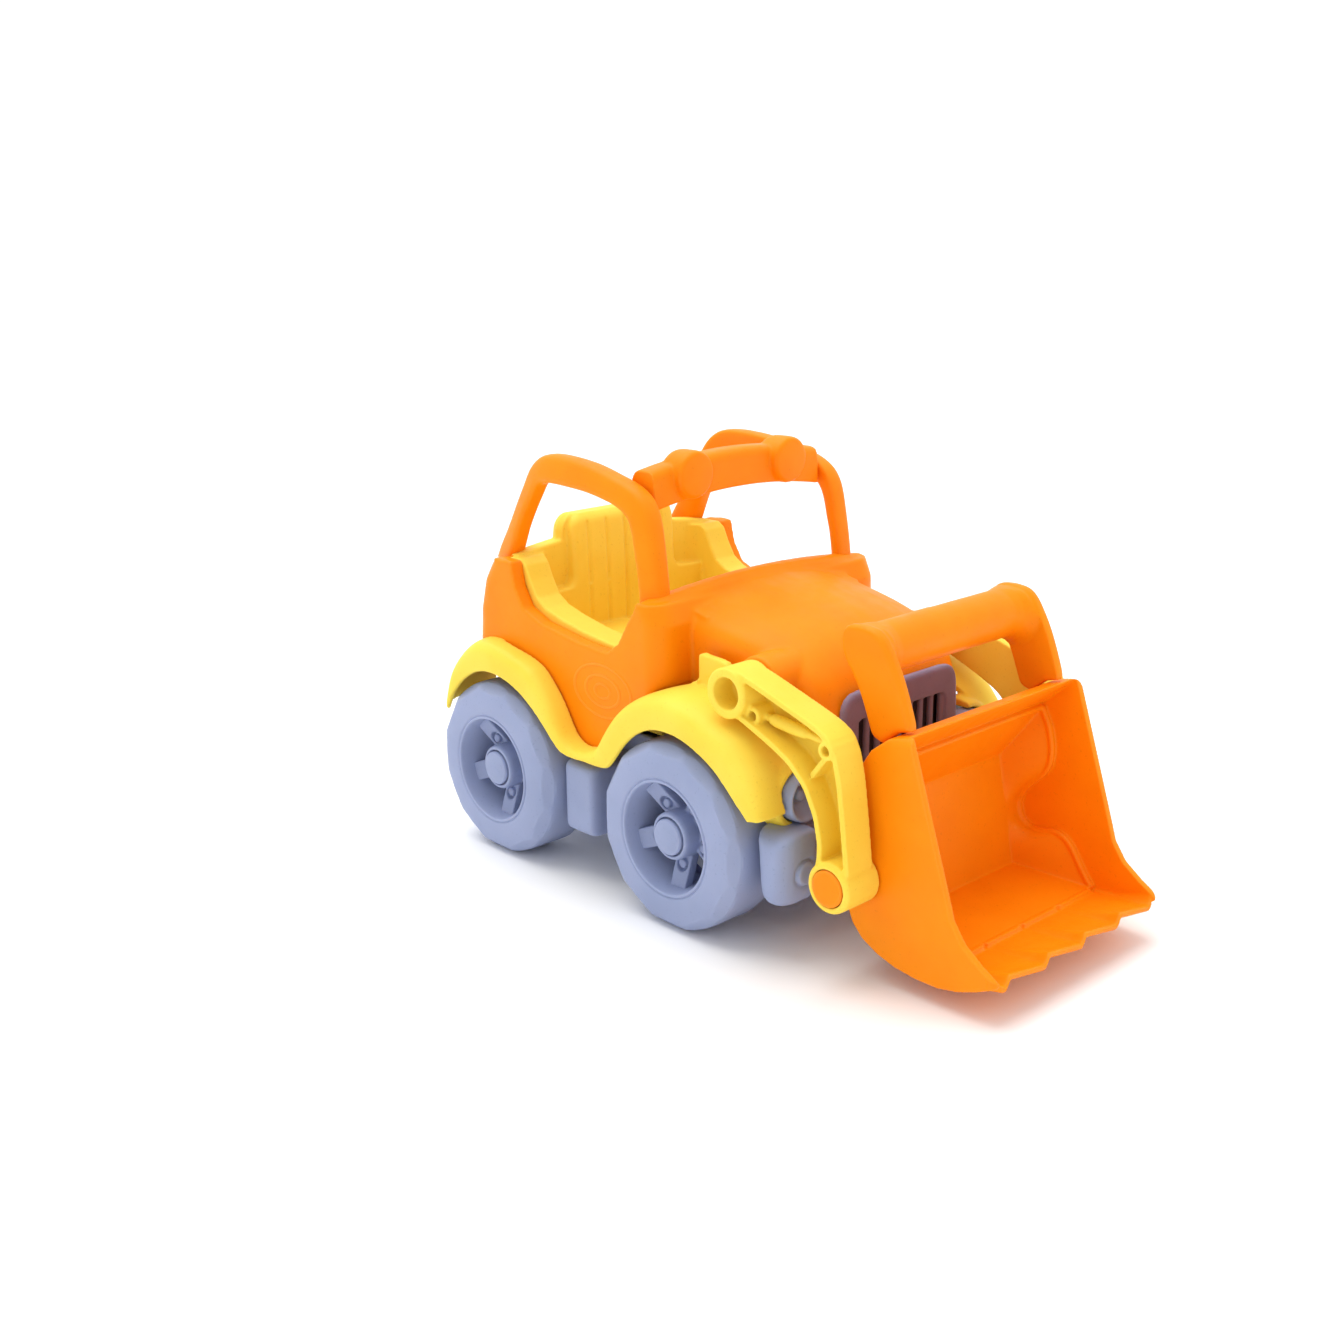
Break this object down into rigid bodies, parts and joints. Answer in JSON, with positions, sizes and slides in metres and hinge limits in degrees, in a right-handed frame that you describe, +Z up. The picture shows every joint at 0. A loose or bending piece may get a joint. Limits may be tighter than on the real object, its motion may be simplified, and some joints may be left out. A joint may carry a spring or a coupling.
{
  "type": "toy front loader",
  "caption": "Toy front loader with an open cab under roll hoops, seat tub, wave-shaped fenders, two axles of wheels, lifting arms and a tilting scoop with a carry handle.",
  "frame": {"origin": "on the ground, under the middle of the overall length and width", "axes": "+X forward to the scoop, +Y to the vehicle's left, +Z up"},
  "size_m": [0.2658, 0.1466, 0.1668],
  "materials": {
    "orange_plastic": "satin moulded plastic",
    "yellow_plastic": "satin moulded plastic",
    "grey_plastic": "satin moulded plastic",
    "dark_grey_plastic": "satin moulded plastic"
  },
  "bodies": {
    "body": {"body_shell": "orange_plastic", "cab_tub": "yellow_plastic", "roof_light_bar": "orange_plastic", "left_roll_hoop": "orange_plastic", "right_roll_hoop": "orange_plastic", "left_fender": "yellow_plastic", "right_fender": "yellow_plastic", "grille": "dark_grey_plastic", "left_headlight": "grey_plastic", "right_headlight": "grey_plastic", "chassis": "grey_plastic", "left_step": "grey_plastic", "right_step": "grey_plastic", "front_bumper": "grey_plastic"},
    "front_wheels": {"front_axle": "dark_grey_plastic", "front_left_wheel": "grey_plastic", "front_right_wheel": "grey_plastic", "front_left_hub_cap": "grey_plastic", "front_right_hub_cap": "grey_plastic"},
    "rear_wheels": {"rear_axle": "dark_grey_plastic", "rear_left_wheel": "grey_plastic", "rear_right_wheel": "grey_plastic", "rear_left_hub_cap": "grey_plastic", "rear_right_hub_cap": "grey_plastic"},
    "lift_frame": {"lift_shaft": "dark_grey_plastic", "left_arm": "yellow_plastic", "right_arm": "yellow_plastic"},
    "scoop": {"scoop": "orange_plastic", "scoop_handle": "orange_plastic", "left_scoop_pin": "orange_plastic", "right_scoop_pin": "orange_plastic"}
  },
  "joints": [
    {"name": "front_axle_spin", "type": "hinge", "parent": "body", "child": "front_wheels", "pos_m": [0.0048, 0, 0.0355], "axis": [0, 1, 0], "continuous": true},
    {"name": "rear_axle_spin", "type": "hinge", "parent": "body", "child": "rear_wheels", "pos_m": [-0.0974, 0, 0.0355], "axis": [0, 1, 0], "continuous": true},
    {"name": "arm_lift", "type": "hinge", "parent": "body", "child": "lift_frame", "pos_m": [0.029, 0, 0.0938], "axis": [0, -1, 0], "range_deg": [0, 55]},
    {"name": "scoop_tilt", "type": "hinge", "parent": "lift_frame", "child": "scoop", "pos_m": [0.0766, 0, 0.0369], "axis": [0, 1, 0], "range_deg": [-10, 95]}
  ]
}
